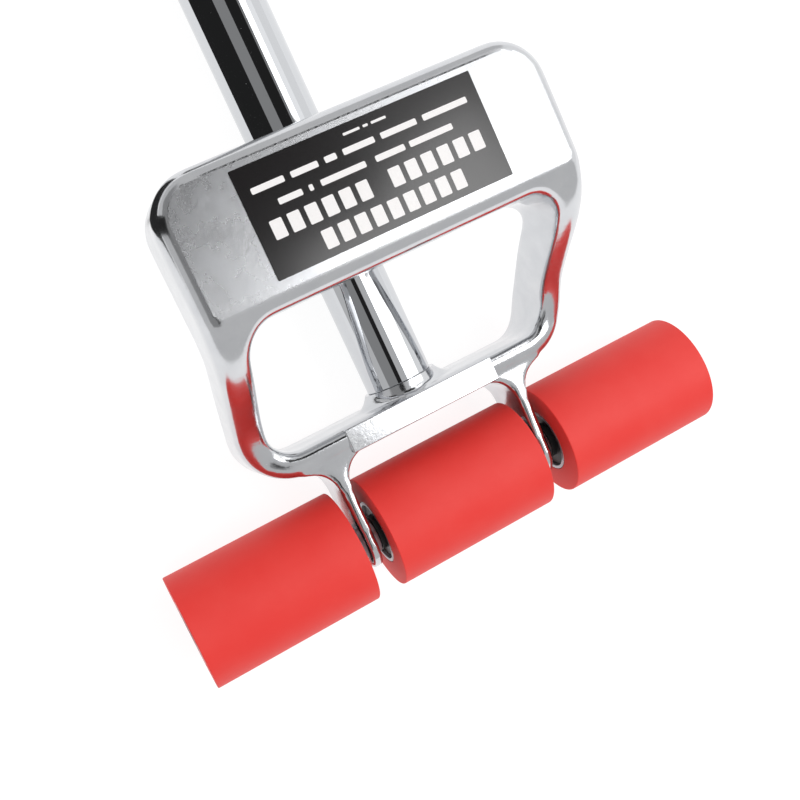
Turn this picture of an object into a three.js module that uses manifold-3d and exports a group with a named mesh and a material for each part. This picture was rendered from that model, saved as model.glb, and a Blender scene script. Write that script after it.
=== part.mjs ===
// Extendable seam and tile roller: three rubber rollers on one axle, a cast head with a raised
// D-shaped hand grip, and a two-part tube that is set to length by a twist lock.
//
// Frame, in millimetres: X runs along the rollers, Y runs from the rollers to the end of the handle and
// Z is up, with the tool lying on its rollers and its end grip. Every piece is built about the middle of
// the roller axle; the whole tool is then moved so that the origin is the bottom centre of its box.

import * as THREE from "three";
import { mergeVertices } from "three/addons/utils/BufferGeometryUtils.js";
import Module from "manifold-3d";

const wasm = await Module();
wasm.setup();

// ---------------------------------------------------------------- driving dimensions
const INCH = 25.4;

const fitGap = 0.05; // between pieces that are fixed to each other
const runGap = 0.2; // between pieces that turn or slide on each other

const lengthCollapsed = 17 * INCH;
const extension = 10 * INCH;

const rollerDiameter = 1.5 * INCH;
const rollerLength = 2.25 * INCH;
const rollerSpacing = 0.375 * INCH;
const rollerChamfer = 0.4;
const coreDiameter = 21.6;
const coreWall = 1.1;
const bushLength = 9;
const bushRecess = 1.2;
const hubDiameter = 12;
const hubStandOut = 0.9;
const endBushRecess = 6;

const axleDiameter = 8;
const axleEndRecess = 1.5;
const washerDiameter = 16;
const washerThickness = 1.5;
const clipThickness = 1.2;
const clipDiameter = 13;
const clipGrooveDiameter = 6.4;
const clipMouthAngle = 40; // from the middle of the clip's mouth to its edge, in degrees

const legThickness = 3.2;
const legEyeDiameter = 20;
const legRootDepth = 24;
const legFlareRadius = 10;

const crossbarGap = 9.5; // from the rollers to the crossbar
const crossbarThickness = 7.8;
const crossbarDepth = 28;
const openingHalfWidth = 51;
const openingLength = 42.4;
const openingFootRadius = 9;
const openingHeadRadius = 10;
const armThickness = 8.2;
const armFootRun = 2; // where the arms start to rise, past the opening's foot
const armTopRun = 5; // where their top face levels out, past the opening's head
const armBackRun = 2; // the same for their back face
const armBackBend = 12; // length of the bends at the two ends of the back face
const shoulderWidth = 0.6; // how much wider the grip is than the arms, on each side
const footCornerRadius = 18;
const gripCornerRadius = 14;
const gripWidth = 43;
const gripDepth = 30.5;
const gripRise = 48.2; // from the tube's axis to the middle of the grip
const gripEdgeRadius = 8;

const labelLength = 72.8;
const labelWidth = 30.5;
const labelThickness = 0.25;
const labelMargin = 6.7; // from the opening to the label

const lowerTubeDiameter = 0.875 * INCH;
const lowerTubeWall = 1.2;
const upperTubeDiameter = lowerTubeDiameter + 0.125 * INCH; // 1 inch: the next size that slides over it
const upperTubeWall = 1.1;
const bossLength = 4.8;
const spigotLength = 14;
const footPlugLength = 20;
const screwDiameter = 6;
const screwHeadDiameter = 10;
const screwHeadLength = 5;
const screwGrip = 15; // length of screw inside the foot plug
const socketWidth = 5;
const socketDepth = 2.8;

const ferruleStart = 98; // from the axle to the open end of the upper tube's ferrule
const ferruleLength = 14;
const ferruleLip = 2.5;
const ferruleWall = 1.4;

const gripLength = 118;
const gripDiameter = 38;
const gripNeckDiameter = 31;
const gripNeckLength = 14;
const gripEndWall = 3;
const gripEndRounding = 5;
const gripVentDiameter = 5;
const endPlugLength = 3.5;
const gripEndSteps = 4; // flats in the rounding of the grip's end

const lockPitch = 2;
const lockTwist = 0.5; // turns of the handle from free to locked
const lockConeAngle = Math.atan(0.18);
const lockConeWall = 2; // wall of the collet at its thin end
const lockClearance = 1.2; // travel of the cone that would close the collet's running gap
const lockStudDiameter = 8;
const lockConeLength = 10;
const lockColletLength = 16;
const lockRingLength = 4;
const lockSlotWidth = 1.6;
const lockNutLength = 2.2;
const lockNutAcross = 15; // across the corners
const lockPlugLength = 18;
const lockFlangeLength = 3;

const cutOver = 1; // how far a cutting or overlapping body runs past what it cuts or joins

const roundSegments = 48;
const smallSegments = 28;
const cornerSegments = 7;

// ---------------------------------------------------------------- derived places
const rollerRadius = rollerDiameter / 2;
const coreRadius = coreDiameter / 2;
const coreBore = coreRadius - coreWall;
const axleRadius = axleDiameter / 2;
const legCentre = (rollerLength + rollerSpacing) / 2;
const spanHalf = 1.5 * rollerLength + rollerSpacing;
const spacerThickness = (rollerSpacing - legThickness) / 2 - hubStandOut - runGap;

const crossbarFoot = rollerRadius + crossbarGap;
const openingFoot = crossbarFoot + crossbarThickness;
const openingHead = openingFoot + openingLength;
const gripBack = openingHead + gripWidth;
const gripTop = gripRise + gripDepth / 2;
const gripBottom = gripRise - gripDepth / 2;
const armHalfWidth = openingHalfWidth + armThickness;
const gripHalfWidth = armHalfWidth + shoulderWidth;

const lowerTubeRadius = lowerTubeDiameter / 2;
const lowerTubeBore = lowerTubeRadius - lowerTubeWall;
const upperTubeRadius = upperTubeDiameter / 2;
const upperTubeBore = upperTubeRadius - upperTubeWall;
const bossTop = openingFoot + bossLength;
const spigotTop = bossTop + spigotLength;
const screwSeat = crossbarFoot + screwHeadLength + fitGap;
const screwBoreRadius = screwDiameter / 2 + fitGap;

const handleEnd = lengthCollapsed - rollerRadius;
const upperTubeEnd = handleEnd - gripEndWall - fitGap;
const upperTubeStart = ferruleStart + ferruleLip + fitGap;
const endPlugStart = upperTubeEnd - endPlugLength;
const lockTravel = lockPitch * lockTwist;
const flangeStart = ferruleStart + ferruleLip + extension + runGap; // the ferrule stops on it
const lowerTubeEnd = flangeStart - fitGap;
const flangeEnd = flangeStart + lockFlangeLength;
const coneStart = flangeEnd + runGap;
const coneEnd = coneStart + lockConeLength;
const colletStart = coneStart + lockClearance + lockTravel;
const colletEnd = colletStart + lockColletLength;
const nutStart = colletEnd + runGap;
const nutEnd = nutStart + lockNutLength;

// ---------------------------------------------------------------- materials
function finish(color, roughness, metalness) {
  return new THREE.MeshStandardMaterial({ color, roughness, metalness });
}

const redRubber = () => finish(0xe8423a, 0.75, 0);
const blackRubber = () => finish(0x1c1c1e, 0.7, 0);
const chrome = () => finish(0xd9dadc, 0.08, 1);
const castAluminium = () => finish(0xc9cacd, 0.22, 1);
const zincSteel = () => finish(0xb4b6b8, 0.35, 1);
const blackNylon = () => finish(0x161616, 0.5, 0);
const labelFilm = () => finish(0x2a2526, 0.25, 0);

// ---------------------------------------------------------------- geometry helpers
const tool = new THREE.Group();

function place(name, geometry, material) {
  const mesh = new THREE.Mesh(geometry, material);
  mesh.name = name;
  tool.add(mesh);
}

/** Solid of a closed geometry, with its shared vertices merged. */
function toSolid(geometry) {
  const bare = new THREE.BufferGeometry();
  bare.setAttribute("position", geometry.getAttribute("position").clone());
  if (geometry.index) {
    bare.setIndex(geometry.index.clone());
  }
  const merged = mergeVertices(bare, 1e-4);
  const vertProperties = new Float32Array(merged.getAttribute("position").array);
  const triVerts = new Uint32Array(merged.index.array);
  return new wasm.Manifold(new wasm.Mesh({ numProp: 3, vertProperties, triVerts }));
}

/** Geometry of a solid made by joining and cutting. */
function toGeometry(solid) {
  const mesh = solid.getMesh();
  const geometry = new THREE.BufferGeometry();
  const positions = new Float32Array(mesh.vertProperties);
  geometry.setAttribute("position", new THREE.BufferAttribute(positions, 3));
  geometry.setIndex(new THREE.BufferAttribute(new Uint32Array(mesh.triVerts), 1));
  geometry.computeVertexNormals();
  return geometry;
}

/** Body of revolution about Y from a closed outline of [radius, distance along the axis] points. */
function turnedAlongY(outline, segments = roundSegments) {
  const closed = [...outline, outline[0]].map(([radius, along]) => new THREE.Vector2(radius, along));
  return new THREE.LatheGeometry(closed, segments);
}

/** The same about X: the distances run along +X. */
function turnedAlongX(outline, segments = smallSegments) {
  const geometry = turnedAlongY(outline, segments);
  geometry.rotateZ(-Math.PI / 2);
  return geometry;
}

/** Outline of a plain ring or tube, counter-clockwise in the half plane. */
function ring(inner, outer, start, end) {
  return [
    [inner, start],
    [outer, start],
    [outer, end],
    [inner, end],
  ];
}

/** Full cylinder along Y, as a solid. */
function rodSolid(radius, start, end, segments = smallSegments) {
  const geometry = new THREE.CylinderGeometry(radius, radius, end - start, segments);
  geometry.translate(0, (start + end) / 2, 0);
  return toSolid(geometry);
}

/** Extrudes an outline drawn in Y and Z along X, centred on the given X. */
function extrudeAlongX(shape, width, centre, curveSegments) {
  const geometry = new THREE.ExtrudeGeometry(shape, {
    depth: width,
    bevelEnabled: false,
    curveSegments,
  });
  geometry.translate(0, 0, -width / 2);
  const axes = new THREE.Matrix4().makeBasis(
    new THREE.Vector3(0, 1, 0),
    new THREE.Vector3(0, 0, 1),
    new THREE.Vector3(1, 0, 0),
  );
  geometry.applyMatrix4(axes);
  geometry.translate(centre, 0, 0);
  return geometry;
}

/** Extrudes an outline drawn in X and Y along Z. */
function extrudeAlongZ(shape, start, end, curveSegments) {
  const geometry = new THREE.ExtrudeGeometry(shape, {
    depth: end - start,
    bevelEnabled: false,
    curveSegments,
  });
  geometry.translate(0, 0, start);
  return geometry;
}

/** Adds a corner of the outline that is rounded by a quarter turn about the given centre. */
function corner(shape, x, y, radius, fromDegrees) {
  const from = THREE.MathUtils.degToRad(fromDegrees);
  shape.absarc(x, y, radius, from, from + Math.PI / 2, false);
}

// ---------------------------------------------------------------- head casting
/** Draws a closed loop with rounded corners that is symmetric about X = 0. */
function roundedLoop(path, foot, head) {
  const footX = foot.halfWidth - foot.radius;
  const headX = head.halfWidth - head.radius;
  corner(path, -footX, foot.y + foot.radius, foot.radius, 180);
  corner(path, footX, foot.y + foot.radius, foot.radius, 270);
  corner(path, headX, head.y - head.radius, head.radius, 0);
  corner(path, -headX, head.y - head.radius, head.radius, 90);
  path.closePath();
  return path;
}

/** Top view of the frame: a D-shaped loop, wider at the grip than at the crossbar. */
function frameOutline() {
  const shape = roundedLoop(
    new THREE.Shape(),
    { halfWidth: armHalfWidth, y: crossbarFoot, radius: footCornerRadius },
    { halfWidth: gripHalfWidth, y: gripBack, radius: gripCornerRadius },
  );
  const opening = roundedLoop(
    new THREE.Path(),
    { halfWidth: openingHalfWidth, y: openingFoot, radius: openingFootRadius },
    { halfWidth: openingHalfWidth, y: openingHead, radius: openingHeadRadius },
  );
  shape.holes.push(opening);
  return shape;
}

/** Side view of the frame: the crossbar at the tube's level, arms that rise in an S, and the grip. */
function frameProfile() {
  const half = crossbarDepth / 2;
  const foot = openingFoot + armFootRun;
  const topHead = openingHead + armTopRun;
  const topMiddle = (foot + topHead) / 2;
  const backHead = openingHead + armBackRun;
  const backBend = foot + armBackBend;
  const shape = new THREE.Shape();
  shape.moveTo(crossbarFoot, -half);
  shape.lineTo(foot, -half);
  shape.bezierCurveTo(backBend, -half, backHead - armBackBend, gripBottom, backHead, gripBottom);
  corner(shape, gripBack - gripEdgeRadius, gripBottom + gripEdgeRadius, gripEdgeRadius, 270);
  corner(shape, gripBack - gripEdgeRadius, gripTop - gripEdgeRadius, gripEdgeRadius, 0);
  shape.lineTo(topHead, gripTop);
  shape.bezierCurveTo(topMiddle, gripTop, topMiddle, half, foot, half);
  shape.lineTo(crossbarFoot, half);
  shape.closePath();
  return shape;
}

/** Front view of the frame, which rounds the grip's long edges at its two ends. */
function frameFront() {
  const shape = new THREE.Shape();
  const foot = -crossbarDepth / 2;
  shape.moveTo(-gripHalfWidth, foot - cutOver);
  shape.lineTo(gripHalfWidth, foot - cutOver);
  corner(shape, gripHalfWidth - gripEdgeRadius, gripTop - gripEdgeRadius, gripEdgeRadius, 0);
  corner(shape, -gripHalfWidth + gripEdgeRadius, gripTop - gripEdgeRadius, gripEdgeRadius, 90);
  shape.closePath();
  return shape;
}

/** Loop of the frame where its top, side and front views meet. */
function frameSolid() {
  const reach = gripTop + crossbarDepth;
  const top = toSolid(extrudeAlongZ(frameOutline(), -reach, reach, cornerSegments));
  const side = toSolid(extrudeAlongX(frameProfile(), 4 * gripHalfWidth, 0, 2 * cornerSegments));
  const turned = new THREE.ExtrudeGeometry(frameFront(), {
    depth: 2 * handleEnd,
    bevelEnabled: false,
    curveSegments: cornerSegments,
  });
  turned.rotateX(Math.PI / 2);
  turned.translate(0, handleEnd, 0);
  return top.intersect(side).intersect(toSolid(turned));
}

/** One leg: a thin plate from the crossbar to a round eye for the axle, flared where it joins. */
function legSolid(centre) {
  const half = legThickness / 2;
  const root = crossbarFoot + crossbarThickness / 2;
  const top = new THREE.Shape();
  const flareStart = crossbarFoot - legFlareRadius;
  const flareHalf = half + legFlareRadius;
  top.moveTo(-half, -rollerRadius);
  top.lineTo(half, -rollerRadius);
  top.lineTo(half, flareStart);
  top.absarc(flareHalf, flareStart, legFlareRadius, Math.PI, Math.PI / 2, true);
  top.lineTo(flareHalf, root);
  top.lineTo(-flareHalf, root);
  top.lineTo(-flareHalf, crossbarFoot);
  top.absarc(-flareHalf, flareStart, legFlareRadius, Math.PI / 2, 0, true);
  top.closePath();
  const plan = extrudeAlongZ(top, -crossbarDepth, crossbarDepth, cornerSegments);
  plan.translate(centre, 0, 0);

  const eye = legEyeDiameter / 2;
  const side = new THREE.Shape();
  side.absarc(0, 0, eye, Math.PI / 2, (3 * Math.PI) / 2, false);
  side.lineTo(crossbarFoot, -legRootDepth / 2);
  side.lineTo(root, -legRootDepth / 2);
  side.lineTo(root, legRootDepth / 2);
  side.lineTo(crossbarFoot, legRootDepth / 2);
  side.closePath();
  const edge = extrudeAlongX(side, 4 * flareHalf, centre, 2 * cornerSegments);
  return toSolid(plan).intersect(toSolid(edge));
}

function headCasting() {
  let head = frameSolid();
  head = head.add(legSolid(-legCentre)).add(legSolid(legCentre));
  head = head.add(rodSolid(lowerTubeRadius, openingFoot - cutOver, bossTop, roundSegments));
  head = head.add(rodSolid(lowerTubeBore - fitGap, bossTop - cutOver, spigotTop, roundSegments));
  head = head.subtract(rodSolid(screwHeadDiameter / 2 + fitGap, crossbarFoot - cutOver, screwSeat));
  head = head.subtract(rodSolid(screwBoreRadius, crossbarFoot, spigotTop + cutOver));
  const axleBore = new THREE.CylinderGeometry(
    axleRadius + fitGap,
    axleRadius + fitGap,
    2 * (legCentre + legThickness),
    smallSegments,
  );
  axleBore.rotateZ(Math.PI / 2);
  return toGeometry(head.subtract(toSolid(axleBore)));
}

place("head_casting", headCasting(), castAluminium());

/** Printed film on the flat of the grip. */
function label() {
  const geometry = new THREE.BoxGeometry(labelLength, labelWidth, labelThickness);
  const middle = openingHead + labelMargin + labelWidth / 2;
  geometry.translate(0, middle, gripTop + fitGap + labelThickness / 2);
  return geometry;
}

place("label_plate", label(), labelFilm());

// ---------------------------------------------------------------- axle
/** Rod with a groove near each end for its clip. */
function axle() {
  const end = spanHalf - axleEndRecess;
  const grooveStart = spanHalf - endBushRecess + runGap + washerThickness + fitGap;
  const grooveEnd = grooveStart + clipThickness + 2 * fitGap;
  const groove = clipGrooveDiameter / 2;
  const outline = [
    [0, -end],
    [axleRadius, -end],
    [axleRadius, -grooveEnd],
    [groove, -grooveEnd],
    [groove, -grooveStart],
    [axleRadius, -grooveStart],
    [axleRadius, grooveStart],
    [groove, grooveStart],
    [groove, grooveEnd],
    [axleRadius, grooveEnd],
    [axleRadius, end],
    [0, end],
  ].map(([radius, along]) => new THREE.Vector2(radius, along));
  const geometry = new THREE.LatheGeometry(outline, smallSegments);
  geometry.rotateZ(-Math.PI / 2);
  return geometry;
}

place("axle", axle(), zincSteel());

/** Open spring clip that snaps into the groove of the axle. */
function clip(centre) {
  const outer = clipDiameter / 2;
  const inner = clipGrooveDiameter / 2 + fitGap;
  const mouth = THREE.MathUtils.degToRad(clipMouthAngle);
  const shape = new THREE.Shape();
  shape.absarc(0, 0, outer, mouth, 2 * Math.PI - mouth, false);
  shape.absarc(0, 0, inner, 2 * Math.PI - mouth, mouth, true);
  shape.closePath();
  return extrudeAlongX(shape, clipThickness, centre, 2 * cornerSegments);
}

function axleEnd(side, sign) {
  const washerStart = spanHalf - endBushRecess + runGap;
  const washerMiddle = sign * (washerStart + washerThickness / 2);
  const half = washerThickness / 2;
  const bore = axleRadius + fitGap;
  const outline = ring(bore, washerDiameter / 2, washerMiddle - half, washerMiddle + half);
  place(`${side}_end_washer`, turnedAlongX(outline), zincSteel());
  const clipMiddle = washerStart + washerThickness + 2 * fitGap + clipThickness / 2;
  place(`${side}_axle_clip`, clip(sign * clipMiddle), zincSteel());
}

/** Spacers that keep the rollers off the leg, one on each side of it. */
function legSpacers(side, sign) {
  const offset = (legThickness + spacerThickness) / 2 + fitGap;
  const half = spacerThickness / 2;
  for (const [position, direction] of [["inner", -1], ["outer", 1]]) {
    const middle = sign * (legCentre + direction * offset);
    const outline = ring(axleRadius + fitGap, hubDiameter / 2, middle - half, middle + half);
    place(`${side}_${position}_spacer`, turnedAlongX(outline), zincSteel());
  }
}

for (const [side, sign] of [["left", -1], ["right", 1]]) {
  axleEnd(side, sign);
  legSpacers(side, sign);
}

// ---------------------------------------------------------------- rollers
/** Flanged plain bearing. Its body lies inside the core and its hub reaches out towards the leg. */
function bush(face, outward, recess, standOut) {
  const bore = axleRadius + runGap;
  const body = coreBore - fitGap;
  const hub = hubDiameter / 2;
  const outline = [
    [bore, -recess - bushLength],
    [body, -recess - bushLength],
    [body, -recess],
    [hub, -recess],
    [hub, standOut],
    [bore, standOut],
  ];
  const placed = outline.map(([radius, along]) => [radius, face + outward * along]);
  return turnedAlongX(outward > 0 ? placed : placed.reverse());
}

/** Bearing at the free end of an outer roller, deep enough to leave room for washer and clip. */
function endBush(face, outward) {
  const start = face - outward * endBushRecess;
  const end = start - outward * bushLength;
  const low = Math.min(start, end);
  const high = Math.max(start, end);
  return turnedAlongX(ring(axleRadius + runGap, coreBore - fitGap, low, high));
}

function roller(name, centre, leftIsFree, rightIsFree) {
  const start = centre - rollerLength / 2;
  const end = centre + rollerLength / 2;
  const sleeve = [
    [coreRadius + fitGap, start],
    [rollerRadius - rollerChamfer, start],
    [rollerRadius, start + rollerChamfer],
    [rollerRadius, end - rollerChamfer],
    [rollerRadius - rollerChamfer, end],
    [coreRadius + fitGap, end],
  ];
  place(`${name}_sleeve`, turnedAlongX(sleeve, roundSegments), redRubber());
  place(`${name}_core`, turnedAlongX(ring(coreBore, coreRadius, start, end)), zincSteel());
  const left = leftIsFree ? endBush(start, -1) : bush(start, -1, bushRecess, hubStandOut);
  const right = rightIsFree ? endBush(end, 1) : bush(end, 1, bushRecess, hubStandOut);
  place(`${name}_left_bush`, left, blackNylon());
  place(`${name}_right_bush`, right, blackNylon());
}

const rollerPitch = rollerLength + rollerSpacing;
roller("left_roller", -rollerPitch, true, false);
roller("centre_roller", 0, false, false);
roller("right_roller", rollerPitch, false, true);

// ---------------------------------------------------------------- lower tube and its fixing
const lowerTube = ring(lowerTubeBore, lowerTubeRadius, bossTop + fitGap, lowerTubeEnd);
place("lower_tube", turnedAlongY(lowerTube), chrome());

/** Threaded plug pressed into the foot of the lower tube. */
function footPlug() {
  const start = spigotTop + fitGap;
  const bore = start + screwGrip + cutOver;
  const outline = [
    [screwBoreRadius, start],
    [lowerTubeBore - fitGap, start],
    [lowerTubeBore - fitGap, start + footPlugLength],
    [0, start + footPlugLength],
    [0, bore],
    [screwBoreRadius, bore],
  ].map(([radius, along]) => new THREE.Vector2(radius, along));
  outline.push(outline[0].clone());
  return new THREE.LatheGeometry(outline, smallSegments);
}

place("tube_foot_plug", footPlug(), zincSteel());

/** Socket-head screw that draws the tube down on the boss. */
function tubeScrew() {
  const head = screwHeadDiameter / 2;
  const headStart = screwSeat - screwHeadLength - fitGap / 2;
  const shoulder = screwSeat - fitGap / 2;
  const outline = [
    [0, headStart + socketDepth],
    [socketWidth / 2, headStart + socketDepth],
    [socketWidth / 2, headStart],
    [head, headStart],
    [head, shoulder],
    [screwDiameter / 2, shoulder],
    [screwDiameter / 2, spigotTop + fitGap + screwGrip],
    [0, spigotTop + fitGap + screwGrip],
  ].map(([radius, along]) => new THREE.Vector2(radius, along));
  return new THREE.LatheGeometry(outline, smallSegments);
}

place("tube_screw", tubeScrew(), zincSteel());

// ---------------------------------------------------------------- twist lock
/** Plug pressed into the head of the lower tube; its flange guides the tube in the upper one. */
function lockPlug() {
  const start = lowerTubeEnd - lockPlugLength;
  const bore = lockStudDiameter / 2 + fitGap;
  return turnedAlongY([
    [bore, start],
    [lowerTubeBore - fitGap, start],
    [lowerTubeBore - fitGap, flangeStart],
    [upperTubeBore - runGap, flangeStart],
    [upperTubeBore - runGap, flangeEnd],
    [bore, flangeEnd],
  ]);
}

place("lock_plug", lockPlug(), blackNylon());

const stud = new THREE.CylinderGeometry(
  lockStudDiameter / 2,
  lockStudDiameter / 2,
  nutEnd - lowerTubeEnd + lockPlugLength - 2 * fitGap,
  smallSegments,
);
stud.translate(0, (nutEnd + lowerTubeEnd - lockPlugLength) / 2, 0);
place("lock_stud", stud, zincSteel());

/** Hexagon nut that keeps the collet on the stud. */
function lockNut() {
  const hexagon = rodSolid(lockNutAcross / 2, nutStart, nutEnd, 6);
  const bore = rodSolid(lockStudDiameter / 2 + fitGap, nutStart - cutOver, nutEnd + cutOver);
  return toGeometry(hexagon.subtract(bore));
}

place("lock_nut", lockNut(), zincSteel());

/** Radius of the collet's tapered bore at a distance along the tube. */
function taperRadius(along) {
  const wide = upperTubeBore - runGap - lockConeWall;
  return wide - (along - colletStart) * Math.tan(lockConeAngle);
}

/** Cone that is drawn into the collet; its taper stays clear by the lock's clearance. */
function lockCone() {
  const slip = (lockClearance + lockTravel) * Math.tan(lockConeAngle);
  const wide = taperRadius(coneStart) - slip;
  const narrow = taperRadius(coneEnd) - slip;
  return turnedAlongY([
    [lockStudDiameter / 2 + runGap, coneStart],
    [wide, coneStart],
    [narrow, coneEnd],
    [lockStudDiameter / 2 + runGap, coneEnd],
  ]);
}

place("lock_cone", lockCone(), zincSteel());

/** Split sleeve that the cone spreads against the bore of the upper tube. */
function lockCollet() {
  const outer = upperTubeBore - runGap;
  const ringStart = colletEnd - lockRingLength;
  const body = toSolid(turnedAlongY([
    [taperRadius(colletStart), colletStart],
    [outer, colletStart],
    [outer, colletEnd],
    [lockStudDiameter / 2 + runGap, colletEnd],
    [lockStudDiameter / 2 + runGap, ringStart],
    [taperRadius(ringStart), ringStart],
  ]));
  const slotLength = ringStart - colletStart;
  const across = new THREE.BoxGeometry(4 * outer, slotLength, lockSlotWidth);
  across.translate(0, colletStart + slotLength / 2 - cutOver, 0);
  const along = new THREE.BoxGeometry(lockSlotWidth, slotLength, 4 * outer);
  along.translate(0, colletStart + slotLength / 2 - cutOver, 0);
  return toGeometry(body.subtract(toSolid(across)).subtract(toSolid(along)));
}

place("lock_collet", lockCollet(), blackNylon());

// ---------------------------------------------------------------- upper tube and handle
const upperTube = ring(upperTubeBore, upperTubeRadius, upperTubeStart, upperTubeEnd);
place("upper_tube", turnedAlongY(upperTube), chrome());

/** Ferrule on the open end of the upper tube; its lip runs on the lower tube. */
function ferrule() {
  const outer = upperTubeRadius + fitGap + ferruleWall;
  return turnedAlongY([
    [lowerTubeRadius + runGap, ferruleStart],
    [outer, ferruleStart],
    [outer, ferruleStart + ferruleLength],
    [upperTubeRadius + fitGap, ferruleStart + ferruleLength],
    [upperTubeRadius + fitGap, ferruleStart + ferruleLip],
    [lowerTubeRadius + runGap, ferruleStart + ferruleLip],
  ]);
}

place("tube_ferrule", ferrule(), blackNylon());

const endPlug = new THREE.CylinderGeometry(
  upperTubeBore - fitGap,
  upperTubeBore - fitGap,
  endPlugLength,
  roundSegments,
);
endPlug.translate(0, endPlugStart + endPlugLength / 2, 0);
place("upper_tube_end_plug", endPlug, blackNylon());

/** Rubber grip over the end of the upper tube, with a neck, a round shoulder and a vented end. */
function handGrip() {
  const bore = upperTubeRadius + fitGap;
  const outer = gripDiameter / 2;
  const start = handleEnd - gripLength;
  const outline = [
    [bore, start],
    [gripNeckDiameter / 2, start],
    [gripNeckDiameter / 2, start + gripNeckLength / 2],
    [outer, start + gripNeckLength],
  ];
  for (let step = 0; step <= gripEndSteps; step += 1) {
    const angle = (step / gripEndSteps) * (Math.PI / 2);
    const radius = outer - gripEndRounding + gripEndRounding * Math.cos(angle);
    outline.push([radius, handleEnd - gripEndRounding + gripEndRounding * Math.sin(angle)]);
  }
  outline.push([gripVentDiameter / 2, handleEnd]);
  outline.push([gripVentDiameter / 2, handleEnd - gripEndWall]);
  outline.push([bore, handleEnd - gripEndWall]);
  return turnedAlongY(outline);
}

place("hand_grip", handGrip(), blackRubber());

// ---------------------------------------------------------------- origin at the bottom centre of the box
tool.position.set(0, rollerRadius - lengthCollapsed / 2, rollerRadius);

export default tool;
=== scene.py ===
"""Looks of an extendable seam roller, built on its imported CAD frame.

The tool lies on its rollers and on its rubber end grip. Sizes in the classes are millimetres about the
middle of the roller axle, with X along the rollers and Y towards the end of the handle. MM turns them
into the metres of the frame.
"""

from __future__ import annotations

import logging
import math
from dataclasses import dataclass, field
from enum import Enum
from typing import Callable, Iterable, Sequence

import bmesh
import bpy
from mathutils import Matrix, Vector

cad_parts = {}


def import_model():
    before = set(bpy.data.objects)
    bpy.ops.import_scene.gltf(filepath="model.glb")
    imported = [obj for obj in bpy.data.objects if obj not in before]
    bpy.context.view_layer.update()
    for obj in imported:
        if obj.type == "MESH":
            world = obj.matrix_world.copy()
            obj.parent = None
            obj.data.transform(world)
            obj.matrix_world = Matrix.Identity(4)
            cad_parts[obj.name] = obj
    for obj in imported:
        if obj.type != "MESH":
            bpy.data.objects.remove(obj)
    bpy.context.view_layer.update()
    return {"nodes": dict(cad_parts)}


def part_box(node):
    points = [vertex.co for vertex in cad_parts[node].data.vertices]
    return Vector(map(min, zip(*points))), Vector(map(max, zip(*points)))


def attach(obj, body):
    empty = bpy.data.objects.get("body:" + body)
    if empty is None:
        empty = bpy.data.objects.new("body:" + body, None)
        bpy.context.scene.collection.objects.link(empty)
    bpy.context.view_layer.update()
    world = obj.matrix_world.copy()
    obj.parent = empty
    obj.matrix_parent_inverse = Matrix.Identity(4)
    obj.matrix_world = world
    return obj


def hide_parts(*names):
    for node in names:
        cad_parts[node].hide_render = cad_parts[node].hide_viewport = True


MM = 0.001
WELD = 0.001  # points closer than this many millimetres are one point
LEVEL = 0.1  # ends closer in height than this many millimetres are level
LOG = logging.getLogger("seam_roller")

Point = tuple[float, float, float]
Outline = Sequence[tuple[float, float]]
Object = bpy.types.Object
Material = bpy.types.Material
NodeTree = bpy.types.NodeTree
Node = bpy.types.Node
Socket = bpy.types.NodeSocket


class Axis(Enum):
    """Axis of the tool that a turned piece is spun about."""

    ROLLERS = (1.0, 0.0, 0.0)
    HANDLE = (0.0, 1.0, 0.0)


class Body(Enum):
    """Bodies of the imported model."""

    HEAD = "head"
    LEFT = "left_roller"
    CENTRE = "centre_roller"
    RIGHT = "right_roller"
    COLLET = "lock_collet"
    CONE = "lock_cone"
    HANDLE = "handle"


# ---------------------------------------------------------------- modelling tools
@dataclass
class Bench:
    """Holds the place of the roller axle, which every size is measured from."""

    origin: Vector = field(default_factory=lambda: Vector((0.0, 0.0, 0.0)))

    def find_axle(self) -> None:
        """Takes the origin from the middle of the axle's box."""
        low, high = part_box("axle")
        self.origin = (low + high) / 2

    def at(self, x: float, y: float, z: float) -> Vector:
        """Place in the frame of a point given in millimetres about the axle.

        Args:
            x: Millimetres along the rollers.
            y: Millimetres towards the handle.
            z: Millimetres up.

        Returns:
            The point in metres.
        """
        return self.origin + Vector((x, y, z)) * MM


BENCH = Bench()


def clear_selection() -> None:
    """Leaves edit mode and deselects everything."""
    if bpy.context.object is not None and bpy.context.object.mode != "OBJECT":
        bpy.ops.object.mode_set(mode="OBJECT")
    bpy.ops.object.select_all(action="DESELECT")


def make_active(obj: Object) -> None:
    """Selects one object alone and makes it active.

    Args:
        obj: The object to work on.
    """
    clear_selection()
    obj.select_set(True)
    bpy.context.view_layer.objects.active = obj


def name_active(name: str) -> Object:
    """Names the active object and its mesh.

    Args:
        name: The new name.

    Returns:
        The active object.
    """
    obj = bpy.context.object
    obj.name = name
    obj.data.name = name
    return obj


def settle(obj: Object) -> Object:
    """Applies an object's place, turn and scale to its mesh.

    Args:
        obj: The object to settle.

    Returns:
        The same object, at the origin.
    """
    make_active(obj)
    bpy.ops.object.transform_apply(location=True, rotation=True, scale=True)
    return obj


def block(name: str, low: Point, high: Point) -> Object:
    """Adds a box between two corners, to be shaped further.

    Args:
        name: Name of the piece.
        low: Lowest corner in millimetres about the axle.
        high: Highest corner.

    Returns:
        The box, settled at the origin.
    """
    clear_selection()
    middle = [(a + b) / 2 for a, b in zip(low, high)]
    size = [(b - a) * MM for a, b in zip(low, high)]
    bpy.ops.mesh.primitive_cube_add(size=1, location=BENCH.at(*middle), scale=size)
    return settle(name_active(name))


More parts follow.
